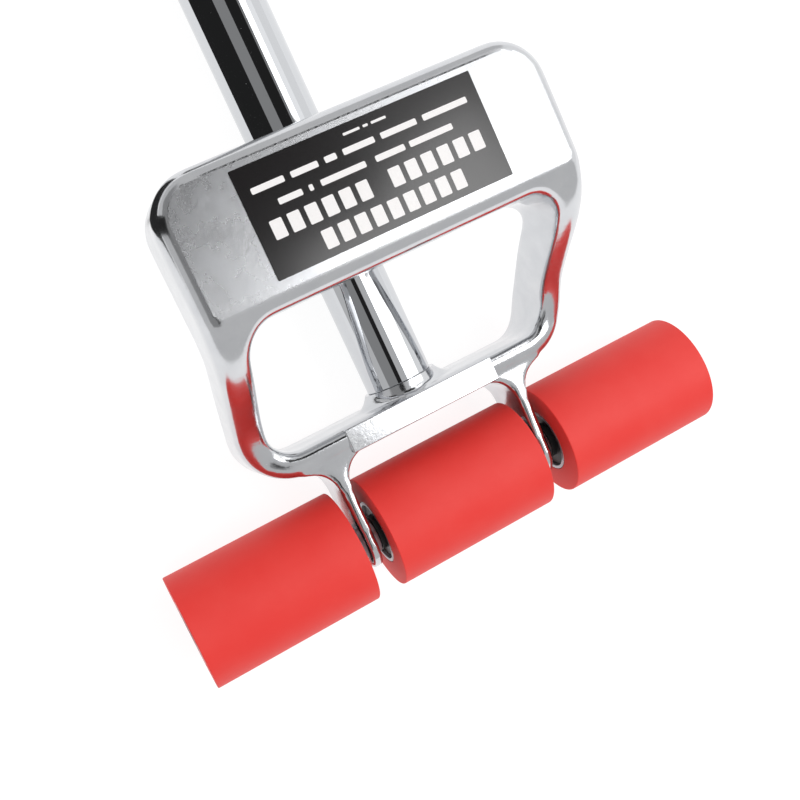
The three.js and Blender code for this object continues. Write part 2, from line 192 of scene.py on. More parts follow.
def select_edges(obj: Object, test: Callable[[Vector, Vector], bool]) -> None:
    """Selects the edges of the mesh in edit mode whose two ends pass a test.

    Args:
        obj: The object in edit mode.
        test: Takes the two ends in millimetres about the axle.
    """
    bpy.ops.mesh.select_mode(type="EDGE")
    mesh = bmesh.from_edit_mesh(obj.data)
    for edge in mesh.edges:
        ends = [(vert.co - BENCH.origin) / MM for vert in edge.verts]
        edge.select_set(bool(test(*ends)))
    mesh.select_flush_mode()
    bmesh.update_edit_mesh(obj.data)


def select_faces(obj: Object, test: Callable[[Vector, Vector], bool]) -> None:
    """Selects the faces of the mesh in edit mode that pass a test.

    Args:
        obj: The object in edit mode.
        test: Takes the middle of the face in millimetres about the axle, and its normal.
    """
    bpy.ops.mesh.select_mode(type="FACE")
    mesh = bmesh.from_edit_mesh(obj.data)
    for face in mesh.faces:
        middle = (face.calc_center_median() - BENCH.origin) / MM
        face.select_set(bool(test(middle, face.normal)))
    mesh.select_flush_mode()
    bmesh.update_edit_mesh(obj.data)


def edit(obj: Object, action: str = "DESELECT") -> None:
    """Opens an object alone in edit mode, with nothing or everything selected.

    Args:
        obj: The object to open.
        action: "DESELECT" for nothing, "SELECT" for everything.
    """
    make_active(obj)
    bpy.ops.object.mode_set(mode="EDIT")
    bpy.ops.mesh.select_all(action=action)


def bevel_edges(obj: Object, test: Callable[[Vector, Vector], bool], radius: float, segments: int) -> None:
    """Rounds the edges of the mesh in edit mode whose two ends pass a test.

    Args:
        obj: The object in edit mode.
        test: Takes the two ends in millimetres about the axle.
        radius: Radius of the rounding in millimetres.
        segments: Flats in the rounding.
    """
    select_edges(obj, test)
    bpy.ops.mesh.bevel(offset=radius * MM, segments=segments, affect="EDGES")


def spin_selected(obj: Object, steps: int, angle: float, centre: Vector, axis: Axis) -> Object:
    """Spins what is selected in edit mode, and closes and settles the turned shape.

    Args:
        obj: The object in edit mode.
        steps: Flats around the piece.
        angle: How far it is spun, in radians.
        centre: A point on the axis.
        axis: The axis to spin about.

    Returns:
        The turned object, settled at the origin.
    """
    bpy.ops.mesh.spin(steps=steps, angle=angle, center=centre, axis=axis.value)
    bpy.ops.mesh.select_all(action="SELECT")
    bpy.ops.mesh.remove_doubles(threshold=WELD * MM)
    bpy.ops.mesh.normals_make_consistent(inside=False)
    bpy.ops.object.mode_set(mode="OBJECT")
    return settle(obj)


def apply_modifier(obj: Object, kind: str, **settings: object) -> None:
    """Adds a modifier and applies it.

    Args:
        obj: The object to change.
        kind: Blender's name of the modifier type.
        **settings: Settings of the modifier.
    """
    make_active(obj)
    modifier = obj.modifiers.new(kind.lower(), kind)
    for key, value in settings.items():
        setattr(modifier, key, value)
    bpy.ops.object.modifier_apply(modifier=modifier.name)


def round_edges(obj: Object, width: float, segments: int = 3, angle: float = 40.0) -> None:
    """Rounds every edge sharper than an angle.

    Args:
        obj: The object to change.
        width: Width of the rounding in millimetres.
        segments: Flats in the rounding.
        angle: Smallest angle between the faces of a rounded edge, in degrees.
    """
    apply_modifier(
        obj,
        "BEVEL",
        width=width * MM,
        segments=segments,
        limit_method="ANGLE",
        angle_limit=math.radians(angle),
        harden_normals=False,
    )


def smooth(obj: Object, angle: float = 30.0) -> None:
    """Shades an object smooth across the edges below an angle, with its large faces kept flat or true.

    Args:
        obj: The object to shade.
        angle: Largest angle that is smoothed, in degrees.
    """
    make_active(obj)
    bpy.ops.object.shade_smooth_by_angle(angle=math.radians(angle))
    apply_modifier(obj, "WEIGHTED_NORMAL", mode="FACE_AREA", weight=50, keep_sharp=True)


def turned(name: str, outline: Outline, axis: Axis, steps: int = 96, closed: bool = True) -> Object:
    """Draws a half section corner by corner and spins it about an axis of the tool.

    Args:
        name: Name of the piece.
        outline: Corners of the section as radius and distance along the axis, in millimetres.
        axis: The axis to spin about.
        steps: Flats around the piece.
        closed: Whether the last corner is joined to the first, as on a ring.

    Returns:
        The turned piece, settled at the origin.
    """
    if axis is Axis.ROLLERS:
        corners = [BENCH.at(along, 0.0, radius) for radius, along in outline]
    else:
        corners = [BENCH.at(0.0, along, radius) for radius, along in outline]
    clear_selection()
    bpy.ops.mesh.primitive_plane_add(size=MM, location=corners[0])
    obj = name_active(name)
    bpy.ops.object.mode_set(mode="EDIT")
    bpy.ops.mesh.select_mode(type="VERT")
    bpy.ops.mesh.select_all(action="SELECT")
    bpy.ops.mesh.merge(type="CENTER")
    for before, after in zip(corners, corners[1:]):
        bpy.ops.mesh.extrude_vertices_move(TRANSFORM_OT_translate={"value": after - before})
    if closed:
        mesh = bmesh.from_edit_mesh(obj.data)
        for vert in mesh.verts:
            vert.select_set(len(vert.link_edges) == 1)
        bmesh.update_edit_mesh(obj.data)
        bpy.ops.mesh.edge_face_add()
    bpy.ops.mesh.select_all(action="SELECT")
    return spin_selected(obj, steps, 2 * math.pi, BENCH.origin, axis)


def pipe_outline(bore: float, outer: float, start: float, end: float) -> list[tuple[float, float]]:
    """Corners of the half section of a plain ring or tube.

    Args:
        bore: Inner radius in millimetres.
        outer: Outer radius.
        start: Start along the axis.
        end: End along the axis.

    Returns:
        The four corners as radius and distance along the axis.
    """
    return [(bore, start), (outer, start), (outer, end), (bore, end)]


def cut(obj: Object, cutter: Object) -> None:
    """Takes one closed solid away from another and removes the cutter.

    Args:
        obj: The solid that is cut.
        cutter: The solid that cuts.
    """
    apply_modifier(obj, "BOOLEAN", object=cutter, operation="DIFFERENCE", solver="EXACT")
    bpy.data.objects.remove(cutter)


def joined(name: str, parts: Sequence[Object]) -> Object:
    """Joins objects into the first one.

    Args:
        name: Name of the result.
        parts: The objects to join.

    Returns:
        The joined object.
    """
    make_active(parts[0])
    for part in parts[1:]:
        part.select_set(True)
    bpy.ops.object.join()
    return name_active(name)


def eased(stations: Outline, at: float) -> float:
    """Height of a smooth curve through stations, which keeps within each pair of neighbours.

    Args:
        stations: Places and heights, in rising order of place.
        at: The place asked for.

    Returns:
        The height there.
    """
    if at <= stations[0][0]:
        return stations[0][1]
    if at >= stations[-1][0]:
        return stations[-1][1]
    slopes = [(b[1] - a[1]) / (b[0] - a[0]) for a, b in zip(stations, stations[1:])]
    bends = [slopes[0]]
    for before, after in zip(slopes, slopes[1:]):
        rising = before * after > 0
        bends.append(2 * before * after / (before + after) if rising else 0.0)
    bends.append(slopes[-1])
    index = max(i for i, station in enumerate(stations[:-1]) if station[0] <= at)
    run = stations[index + 1][0] - stations[index][0]
    t = (at - stations[index][0]) / run
    start = (1 + 2 * t) * (1 - t) ** 2 * stations[index][1] + t * (1 - t) ** 2 * run * bends[index]
    end = t * t * (3 - 2 * t) * stations[index + 1][1] + t * t * (t - 1) * run * bends[index + 1]
    return start + end


# ---------------------------------------------------------------- finishes
def linear(colour: str) -> tuple[float, float, float, float]:
    """Turns an sRGB hex colour to linear.

    Args:
        colour: Colour such as "#EF4A42".

    Returns:
        Linear red, green, blue and an alpha of 1.
    """
    parts = [int(colour[i : i + 2], 16) / 255 for i in (1, 3, 5)]
    made = [c / 12.92 if c <= 0.04045 else ((c + 0.055) / 1.055) ** 2.4 for c in parts]
    return (made[0], made[1], made[2], 1.0)


def add_node(
    tree: NodeTree,
    kind: str,
    settings: dict[str, object] | None = None,
    values: dict[int | str, object] | None = None,
    links: dict[int | str, Socket] | None = None,
) -> Node:
    """Adds one shader node.

    Args:
        tree: The node tree.
        kind: Blender's type name without its "ShaderNode" start.
        settings: Properties of the node.
        values: Values of its input sockets.
        links: Output sockets that feed its input sockets.

    Returns:
        The new node.
    """
    node = tree.nodes.new("ShaderNode" + kind)
    for key, value in (settings or {}).items():
        setattr(node, key, value)
    for key, value in (values or {}).items():
        node.inputs[key].default_value = value
    for key, source in (links or {}).items():
        tree.links.new(source, node.inputs[key])
    return node


def blank_material(name: str) -> tuple[Material, NodeTree]:
    """Opens a new material with no nodes.

    Args:
        name: Name of the material.

    Returns:
        The material and its empty node tree.
    """
    material = bpy.data.materials.new(name)
    material.use_nodes = True
    material.node_tree.nodes.clear()
    return material, material.node_tree


def per_mm(size: float) -> float:
    """Scale of a noise whose features are this many millimetres apart, on coordinates in metres."""
    return 1.0 / (size * MM)


@dataclass(frozen=True)
class Finish:
    """A surface with its colour, gloss and fine relief."""

    name: str
    slot: str

    def start(self) -> tuple[Material, NodeTree, Socket]:
        """Opens a new material.

        Returns:
            The material, its emptied node tree and the Object coordinates to draw patterns on.
        """
        material, tree = blank_material(self.name)
        return material, tree, add_node(tree, "TexCoord").outputs["Object"]

    def close(self, tree: NodeTree, values: dict, links: dict) -> None:
        """Adds the surface shader and the output.

        Args:
            tree: The node tree.
            values: Values of the shader's sockets.
            links: Output sockets that feed the shader.
        """
        shader = add_node(tree, "BsdfPrincipled", None, values, links)
        add_node(tree, "OutputMaterial", None, None, {"Surface": shader.outputs["BSDF"]})

    def build(self) -> Material:
        """Makes the material."""
        raise NotImplementedError


@dataclass(frozen=True)
class BuffedCastAluminium(Finish):
    """Die-cast aluminium alloy, ground on its face and buffed.

    It gives a bright, slightly wavy mirror with cloudy patches and small casting pits. Below raw_level
    the casting skin is left rough. Real pits are about 0.1 mm and the skin's grain about 0.3 mm: both are
    drawn coarser, so that they show.
    """

    colour: str = "#DCDDDF"
    cloud_colour: str = "#C6C8CC"
    wave: float = 9.0
    pit: float = 0.4
    grain: float = 1.0
    ground_level: float = 63.45
    ground_dulling: float = 0.13
    pit_dulling: float = 0.2
    raw_level: float = 22.0

    def build(self) -> Material:
        """Makes the buffed casting.

        Returns:
            The material.
        """
        material, tree, place = self.start()
        here = {"Vector": place}
        clouds = add_node(
            tree, "TexNoise", None,
            {"Scale": per_mm(self.wave), "Detail": 4.0, "Roughness": 0.6}, here,
        ).outputs["Fac"]
        grain = add_node(
            tree, "TexNoise", None,
            {"Scale": per_mm(self.grain), "Detail": 3.0, "Roughness": 0.7}, here,
        ).outputs["Fac"]
        pits = add_node(
            tree, "TexNoise", None,
            {"Scale": per_mm(self.pit), "Detail": 2.0, "Roughness": 0.5}, here,
        ).outputs["Fac"]
        pit_mask = add_node(
            tree, "MapRange", None,
            {"From Min": 0.70, "From Max": 0.78, "To Min": 0.0, "To Max": 1.0}, {"Value": pits},
        ).outputs[0]
        rough = add_node(
            tree, "MapRange", None,
            {"From Min": 0.2, "From Max": 0.8, "To Min": 0.1, "To Max": 0.19}, {"Value": clouds},
        ).outputs[0]
        height = {"Value": add_node(tree, "SeparateXYZ", None, None, {0: place}).outputs["Z"]}
        level = BENCH.at(0, 0, self.ground_level).z
        below, face = level - 0.4 * MM, level - 0.05 * MM
        ground = add_node(
            tree, "MapRange", None,
            {"From Min": below, "From Max": face, "To Min": 0.0, "To Max": self.ground_dulling}, height,
        ).outputs[0]
        linished = add_node(tree, "Math", {"operation": "ADD"}, None, {0: rough, 1: ground}).outputs[0]
        dull = add_node(
            tree, "Math", {"operation": "MULTIPLY_ADD"}, {1: self.pit_dulling}, {0: pit_mask, 2: linished}
        )
        low, high = (BENCH.at(0, 0, share * self.raw_level).z for share in (1, 2))
        raw = add_node(
            tree, "MapRange", None,
            {"From Min": low, "From Max": high, "To Min": 1.0, "To Max": 0.1}, height,
        ).outputs[0]
        skin = add_node(tree, "Math", {"operation": "MULTIPLY"}, None, {0: grain, 1: raw}).outputs[0]
        waves = add_node(
            tree, "Bump", None,
            {"Strength": 0.1, "Distance": 0.5 * MM}, {"Height": clouds},
        ).outputs["Normal"]
        fine = add_node(
            tree, "Bump", None,
            {"Strength": 0.35, "Distance": 0.05 * MM}, {"Height": skin, "Normal": waves},
        )
        holes = add_node(
            tree, "Bump", {"invert": True}, {"Strength": 0.12, "Distance": 0.08 * MM},
            {"Height": pit_mask, "Normal": fine.outputs["Normal"]},
        )
        colour = add_node(
            tree, "Mix", {"data_type": "RGBA"},
            {6: linear(self.colour), 7: linear(self.cloud_colour)},
            {0: clouds},
        )
        self.close(
            tree,
            {"Metallic": 1.0},
            {
                "Base Color": colour.outputs[2],
                "Roughness": dull.outputs[0],
                "Normal": holes.outputs["Normal"],
            },
        )
        return material


@dataclass(frozen=True)
class ChromePlate(Finish):
    """Bright chromium plate on drawn steel tube.

    It gives a dark, sharp mirror with a few specks of dust and very faint draw lines along the tube. Real
    dust and draw lines are finer than 0.1 mm and are drawn coarser, so that they show.
    """

    colour: str = "#CFD1D4"
    speck: float = 1.1
    line: float = 1.6
    drawn_out: Point = (1.0, 0.02, 1.0)

    def build(self) -> Material:
        """Makes the chrome plate.

        Returns:
            The material.
        """
        material, tree, place = self.start()
        specks = add_node(
            tree, "TexNoise", None,
            {"Scale": per_mm(self.speck), "Detail": 2.0, "Roughness": 0.6}, {"Vector": place},
        )
        dust = add_node(
            tree, "MapRange", None,
            {"From Min": 0.7, "From Max": 0.78, "To Min": 0.035, "To Max": 0.3},
            {"Value": specks.outputs["Fac"]},
        )
        drawn = add_node(tree, "Mapping", None, {"Scale": self.drawn_out}, {"Vector": place})
        along = {"Vector": drawn.outputs["Vector"]}
        lines = add_node(
            tree, "TexNoise", None,
            {"Scale": per_mm(self.line), "Detail": 3.0, "Roughness": 0.5}, along,
        )
        bump = add_node(
            tree, "Bump", None,
            {"Strength": 0.05, "Distance": 0.05 * MM}, {"Height": lines.outputs["Fac"]},
        )
        self.close(
            tree,
            {"Metallic": 1.0, "Base Color": linear(self.colour)},
            {"Roughness": dust.outputs[0], "Normal": bump.outputs["Normal"]},
        )
        return material


@dataclass(frozen=True)
class GroundRubber(Finish):
    """Red rubber covering, ground round on a lathe.

    It gives a velvety matt surface with faint rings, fine grain and a little bloom. The rings left by the
    wheel are about 0.2 mm apart and are drawn at 0.5 mm, so that they show.
    """

    colour: str = "#E52D25"
    bloom: str = "#E83F37"
    patch: float = 14.0
    ring: float = 0.5
    grain: float = 0.16
    wrapped: Point = (1.0, 0.03, 0.03)

    def build(self) -> Material:
        """Makes the ground rubber.

        Returns:
            The material.
        """
        material, tree, place = self.start()
        here = {"Vector": place}
        patches = add_node(
            tree, "TexNoise", None,
            {"Scale": per_mm(self.patch), "Detail": 4.0, "Roughness": 0.6}, here,
        )
        grain = add_node(
            tree, "TexNoise", None,
            {"Scale": per_mm(self.grain), "Detail": 3.0, "Roughness": 0.7}, here,
        ).outputs["Fac"]
        around = add_node(tree, "Mapping", None, {"Scale": self.wrapped}, here)
        rings = add_node(
            tree, "TexNoise", None,
            {"Scale": per_mm(self.ring), "Detail": 2.0, "Roughness": 0.6},
            {"Vector": around.outputs["Vector"]},
        )
        bloomed = add_node(
            tree, "MapRange", None,
            {"From Min": 0.4, "From Max": 0.8, "To Min": 0.0, "To Max": 0.5},
            {"Value": patches.outputs["Fac"]},
        )
        rough = add_node(
            tree, "MapRange", None,
            {"From Min": 0.0, "From Max": 1.0, "To Min": 0.5, "To Max": 0.66}, {"Value": grain},
        )
        ridges = add_node(
            tree, "Bump", None,
            {"Strength": 0.12, "Distance": 0.05 * MM}, {"Height": rings.outputs["Fac"]},
        )
        bump = add_node(
            tree, "Bump", None,
            {"Strength": 0.25, "Distance": 0.03 * MM},
            {"Height": grain, "Normal": ridges.outputs["Normal"]},
        )
        colour = add_node(
            tree, "Mix", {"data_type": "RGBA"},
            {6: linear(self.colour), 7: linear(self.bloom)},
            {0: bloomed.outputs[0]},
        )
        self.close(
            tree,
            {"IOR": 1.52, "Sheen Weight": 0.03, "Sheen Roughness": 0.5},
            {
                "Base Color": colour.outputs[2],
                "Roughness": rough.outputs[0],
                "Normal": bump.outputs["Normal"],
            },
        )
        return material


@dataclass(frozen=True)
class PatchedFinish(Finish):
    """A plain material in two close shades, with a fine grain and gloss that changes in patches."""

    colour: str
    shade: str
    gloss: tuple[float, float]
    patch: float
    patch_detail: float
    grain: float
    grain_detail: float
    grain_rough: float
    bump: float
    values: tuple[tuple[str, float], ...]

    def build(self) -> Material:
        """Makes the material.

        Returns:
            The material.
        """
        material, tree, place = self.start()
        here = {"Vector": place}
        grain = add_node(
            tree, "TexNoise", None,
            {"Scale": per_mm(self.grain), "Detail": self.grain_detail, "Roughness": self.grain_rough}, here,
        )
        patches = add_node(
            tree, "TexNoise", None,
            {"Scale": per_mm(self.patch), "Detail": self.patch_detail, "Roughness": 0.6}, here,
        )
        rough = add_node(
            tree, "MapRange", None,
            {"From Min": 0.3, "From Max": 0.7, "To Min": self.gloss[0], "To Max": self.gloss[1]},
            {"Value": patches.outputs["Fac"]},
        )
        bump = add_node(
            tree, "Bump", None,
            {"Strength": self.bump, "Distance": 0.04 * MM}, {"Height": grain.outputs["Fac"]},
        )
        colour = add_node(
            tree, "Mix", {"data_type": "RGBA"},
            {6: linear(self.colour), 7: linear(self.shade)},
            {0: patches.outputs["Fac"]},
        )
        self.close(
            tree,
            dict(self.values),
            {
                "Base Color": colour.outputs[2],
                "Roughness": rough.outputs[0],
                "Normal": bump.outputs["Normal"],
            },
        )
        return material


@dataclass(frozen=True)
class MouldedPlastic(PatchedFinish):
    """Moulded rubber or nylon: one colour with a fine spark-eroded grain and small gloss changes.

    The real grain is about 0.1 mm and is drawn at 0.3 mm, so that it shows.
    """

    colour: str = "#1A1A1C"
    shade: str = "#2A2A2D"
    gloss: tuple[float, float] = (0.45, 0.62)
    patch: float = 12.0
    patch_detail: float = 3.0
    grain: float = 0.3
    grain_detail: float = 3.0
    grain_rough: float = 0.65
    bump: float = 0.3
    values: tuple[tuple[str, float], ...] = (("IOR", 1.53),)


@dataclass(frozen=True)
class ZincPlate(PatchedFinish):
    """Zinc plate on turned or pressed steel: a soft grey metal with fine turning marks."""

    colour: str = "#B9BCC0"
    shade: str = "#9DA1A6"
    gloss: tuple[float, float] = (0.22, 0.4)
    patch: float = 3.0
    patch_detail: float = 4.0
    grain: float = 0.4
    grain_detail: float = 2.0
    grain_rough: float = 0.6
    bump: float = 0.15
    values: tuple[tuple[str, float], ...] = (("Metallic", 1.0),)


@dataclass(frozen=True)
class PrintedFilm(Finish):
    """Printed vinyl film under a clear glossy layer: even ink with a faint dot grain.

    Print dots are about 0.1 mm apart and are drawn at 0.25 mm, so that they show.
    """

    colour: str = "#100E0F"
    worn: str = "#191617"
    dot: float = 0.25
    rough: float = 0.3
    coat: float = 1.0

    def build(self) -> Material:
        """Makes the film.

        Returns:
            The material.
        """
        material, tree, place = self.start()
        dots = add_node(
            tree, "TexNoise", None,
            {"Scale": per_mm(self.dot), "Detail": 2.0, "Roughness": 0.7}, {"Vector": place},
        )
        bump = add_node(
            tree, "Bump", None,
            {"Strength": 0.12, "Distance": 0.02 * MM}, {"Height": dots.outputs["Fac"]},
        )
        colour = add_node(
            tree, "Mix", {"data_type": "RGBA"},
            {6: linear(self.colour), 7: linear(self.worn)},
            {0: dots.outputs["Fac"]},
        )
        self.close(
            tree,
            {
                "IOR": 1.5, "Specular IOR Level": 0.1, "Roughness": self.rough,
                "Coat Weight": self.coat, "Coat Roughness": 0.14, "Coat IOR": 1.6,
            },
            {"Base Color": colour.outputs[2], "Normal": bump.outputs["Normal"]},
        )
        return material


FINISHES: dict[str, Finish] = {
    finish.name: finish
    for finish in (
        BuffedCastAluminium("buffed_cast_aluminium", "cast_aluminium"),
        ChromePlate("chrome_plate", "chrome"),
        GroundRubber("ground_red_rubber", "red_rubber"),
        MouldedPlastic("moulded_black_rubber", "black_rubber", gloss=(0.55, 0.7), bump=0.4),
        MouldedPlastic("moulded_black_nylon", "black_nylon", "#121213", "#1D1D1F", (0.35, 0.5)),
        ZincPlate("zinc_plated_steel", "zinc_steel"),
        PrintedFilm("black_label_film", "label_film"),
        PrintedFilm("white_label_ink", "label_film", colour="#F4F2F1", worn="#E6E3E2", rough=0.4, coat=0.2),
    )
}


def finish_of(name: str) -> Material:
    """The material of a finish, made when it is first asked for.

    Args:
        name: Name of the finish.

    Returns:
        The material.
    """
    made = bpy.data.materials.get(name)
    return made if made is not None else FINISHES[name].build()


def fit(obj: Object, finish: str, body: Body, nodes: Iterable[str] = ()) -> Object:
    """Gives a finished piece its material and its body, and hides the CAD nodes that it stands for.

    Args:
        obj: The piece.
        finish: Name of its finish.
        body: The body that it rides on.
        nodes: CAD nodes that it replaces.

    Returns:
        The same piece.
    """
    obj.data.materials.clear()
    obj.data.materials.append(finish_of(finish))
    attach(obj, body.value)
    if nodes:
        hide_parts(*nodes)
    LOG.info("%s: %d faces on %s", obj.name, len(obj.data.polygons), body.value)
    return obj


def complete(
    obj: Object,
    edge: float,
    segments: int,
    finish: str,
    body: Body,
    nodes: Iterable[str],
    angle: float = 40.0,
) -> None:
    """Rounds the edges of a piece, shades it and fits it.

    Args:
        obj: The piece.
        edge: Width of its rounded edges in millimetres.
        segments: Flats in the rounding.
        finish: Name of its finish.
        body: The body that it rides on.
        nodes: CAD nodes that it replaces.
        angle: Smallest angle of a rounded edge, in degrees.
    """
    round_edges(obj, edge, segments, angle)
    smooth(obj)
    fit(obj, finish, body, nodes)


# ---------------------------------------------------------------- cast head
@dataclass
class CastHead:
    """Die-cast head: two legs, crossbar, boss for the tube and the raised D-shaped grip."""

    leg_x: float = 33.3375
    leg_half: float = 1.85
    eye_radius: float = 10.0
    root_half: float = 12.0
    flare_radius: float = 10.0
    flare_turn: float = 84.0
    flare_steps: int = 8
    leg_sink: float = 3.0
    bar_foot: float = 28.55
    bar_head: float = 36.35
    bar_flat_half: float = 27.0
    depth_half: float = 14.0
    arm_half: float = 59.2
    grip_half: float = 59.8
    opening_half: float = 51.0
    opening_head: float = 78.75
    opening_head_radius: float = 10.0
    opening_foot_radius: float = 9.0
    parting_share: tuple[float, float] = (49.4 / 51, 0.955)
    grip_back: float = 121.75
    face_z: float = 63.45
    foot_radius: float = 18.0
    back_radius: float = 14.0
    rim: float = 5.3
    crease: float = 2.4
    voxel: float = 0.75
    cage_middle: float = 72.5
    cage_size: Point = (160.0, 105.0, 32.0)
    cage_rows: int = 43
    boss_outline: Outline = ((0, 30), (11.8, 30), (11.8, 43), (0, 43))
    fillet_outline: Outline = (
        (0, 31), (18.5, 31), (18.5, 36.2), (16.2, 37.4), (14.2, 38.9), (12.9, 40.6), (12.2, 42.2),
        (0, 42.2),
    )
    fillet_height: float = 0.66
    facing_outline: Outline = ((0, 41.15), (15, 41.15), (15, 46), (0, 46))
    screw_outline: Outline = ((0, 26), (5.05, 26), (5.05, 33.6), (3.05, 33.6), (3.05, 46), (0, 46))
    axle_outline: Outline = ((0, -40), (4.05, -40), (4.05, 40), (0, 40))
    front_rise: Outline = (
        (20, 14), (37.5, 14), (41.5, 15.7), (45.4, 18.5), (48.9, 22.1), (52.6, 27.4), (56.9, 34.4),
        (61, 41.4), (65.7, 48.9), (69.7, 54.2), (74.3, 58.6), (78.75, 61.5), (83.0, 63.55), (86, 63.8),
        (125, 63.8),
    )
    back_rise: Outline = (
        (20, -14), (37.5, -14), (43, -12), (48.3, -6.5), (53.8, 0.8), (59.5, 8.2), (64.8, 15.5), (70.8, 25),
        (75, 30.8), (80.75, 32.95), (125, 32.95),
    )

    def loop(self) -> Object:
        """Makes the D-shaped loop flat, with rounded corners and rims.

        Returns:
            The flat loop.
        """
        low = (-self.arm_half, self.bar_foot, -self.depth_half)
        high = (self.arm_half, self.grip_back, self.depth_half)
        obj = block("head_loop", low, high)
        edit(obj)
        select_faces(obj, lambda middle, normal: normal.y > 0.9)
        bpy.ops.transform.resize(value=(self.grip_half / self.arm_half, 1, 1), center_override=BENCH.origin)
        middle = (self.bar_foot + self.grip_back) / 2
        self.round_corners(obj, middle, self.back_radius, self.foot_radius, 14)
        bevel_edges(obj, lambda a, b: abs(a.z - b.z) < LEVEL, self.rim, 7)
        bpy.ops.object.mode_set(mode="OBJECT")
        cut(obj, self.opening())
        round_edges(obj, self.crease, 4, 55)
        return obj

    def round_corners(self, obj: Object, middle: float, back: float, foot: float, segments: int) -> None:
        """Rounds the upright edges of a block in edit mode.

        Args:
            obj: The block.
            middle: Place along the handle that parts its back edges from its front ones.
            back: Radius of the edges behind the middle.
            foot: Radius of the edges before it.
            segments: Flats in each rounding.
        """
        for side, radius in ((1, back), (-1, foot)):
            bevel_edges(
                obj,
                lambda a, b: abs(a.z - b.z) > self.depth_half and (a.y - middle) * side > 0,
                radius,
                segments,
            )

    def opening(self) -> Object:
        """Makes the cutter of the hand opening, narrowest at the parting line.

        Returns:
            The cutter.
        """
        half = self.opening_half
        obj = block("opening_cutter", (-half, self.bar_head, -30), (half, self.opening_head, 30))
        edit(obj)
        middle = (self.bar_head + self.opening_head) / 2
        self.round_corners(obj, middle, self.opening_head_radius, self.opening_foot_radius, 10)
        bpy.ops.mesh.select_all(action="SELECT")
        bpy.ops.mesh.bisect(plane_co=BENCH.origin, plane_no=(0, 0, 1))
        select_edges(obj, lambda a, b: abs(a.z) < LEVEL and abs(b.z) < LEVEL)
        bpy.ops.transform.resize(value=(*self.parting_share, 1), center_override=BENCH.at(0, middle, 0))
        bpy.ops.object.mode_set(mode="OBJECT")
        return obj

    def lift(self, obj: Object) -> None:
        """Bends the flat loop up with a lattice, so that the grip stands above the tube.

        Args:
            obj: The flat loop, evenly meshed.
        """
        clear_selection()
        size = Vector(self.cage_size) * MM
        middle = BENCH.at(0, self.cage_middle, 0)
        bpy.ops.object.add(type="LATTICE", location=middle)
        cage = bpy.context.object
        cage.scale = size
        cage.data.points_u, cage.data.points_v, cage.data.points_w = 2, self.cage_rows, 2
        cage.data.interpolation_type_u = "KEY_LINEAR"
        cage.data.interpolation_type_v = "KEY_CATMULL_ROM"
        cage.data.interpolation_type_w = "KEY_LINEAR"
        for point in cage.data.points:
            y = (middle.y + point.co.y * size.y - BENCH.origin.y) / MM
            z = point.co.z * size.z / MM
            front = eased(self.front_rise, y)
            back = eased(self.back_rise, y)
            target = (front + back) / 2 + z / self.depth_half * (front - back) / 2
            point.co_deform.z = (target * MM + BENCH.origin.z - middle.z) / size.z
        bpy.context.view_layer.update()
        apply_modifier(obj, "LATTICE", object=cage)
        bpy.data.objects.remove(cage)

    def leg(self, side: int) -> Object:
        """Makes one leg: a thin plate with a round eye, flared out into the crossbar.

        Args:
            side: -1 for the left leg and 1 for the right one.

        Returns:
            The leg.
        """
        x = side * self.leg_x
        start = self.bar_foot - self.flare_radius
        half = self.leg_half
        obj = block("leg", (x - half, 0, -self.eye_radius), (x + half, start, self.eye_radius))
        edit(obj)
        select_faces(obj, lambda middle, normal: normal.y > 0.9)
        share = (self.root_half - 1) / self.eye_radius
        bpy.ops.transform.resize(value=(1, 1, share), center_override=BENCH.at(x, start, 0))
        before = start
        for step in range(1, self.flare_steps + 1):
            angle = step / self.flare_steps * math.radians(self.flare_turn)
            along = start + self.flare_radius * math.sin(angle)
            wider = self.leg_half + self.flare_radius * (1 - math.cos(angle))
            self.extend(along - before)
            bpy.ops.transform.resize(value=(wider / half, 1, 1.012), center_override=BENCH.at(x, along, 0))
            half, before = wider, along
        self.extend(self.leg_sink)
        bpy.ops.object.mode_set(mode="OBJECT")
        clear_selection()
        bpy.ops.mesh.primitive_cylinder_add(
            vertices=64,
            radius=self.eye_radius * MM,
            depth=2 * self.leg_half * MM,
            location=BENCH.at(x, 0, 0),
            rotation=(0, math.pi / 2, 0),
        )
        return joined("leg", [obj, settle(name_active("eye"))])

    def extend(self, length: float) -> None:
        """Extrudes what is selected towards the handle by a length in millimetres."""
        bpy.ops.mesh.extrude_region_move(TRANSFORM_OT_translate={"value": (0, length * MM, 0)})

    def boss(self) -> Object:
        """Makes the collar that the tube stands on, with a fillet that spreads out to both sides.

        Returns:
            The boss.
        """
        collar = turned("boss", self.boss_outline, Axis.HANDLE, 64, closed=False)
        fillet = turned("boss_fillet", self.fillet_outline, Axis.HANDLE, 64, closed=False)
        edit(fillet, "SELECT")
        bpy.ops.transform.resize(value=(1, 1, self.fillet_height), center_override=BENCH.origin)
        bpy.ops.object.mode_set(mode="OBJECT")
        return joined("boss", [collar, fillet])

    def flat_bar(self) -> Object:
        """Makes the flat middle of the crossbar, which stands a hair proud of its rounded ends.

        Returns:
            The bar.
        """
        low = (-self.bar_flat_half, self.bar_foot - 0.04, -self.depth_half - 0.05)
        high = (self.bar_flat_half, self.bar_head + 0.04, self.depth_half + 0.2)
        obj = block("flat_bar", low, high)
        round_edges(obj, 0.45, 3, 60)
        return obj

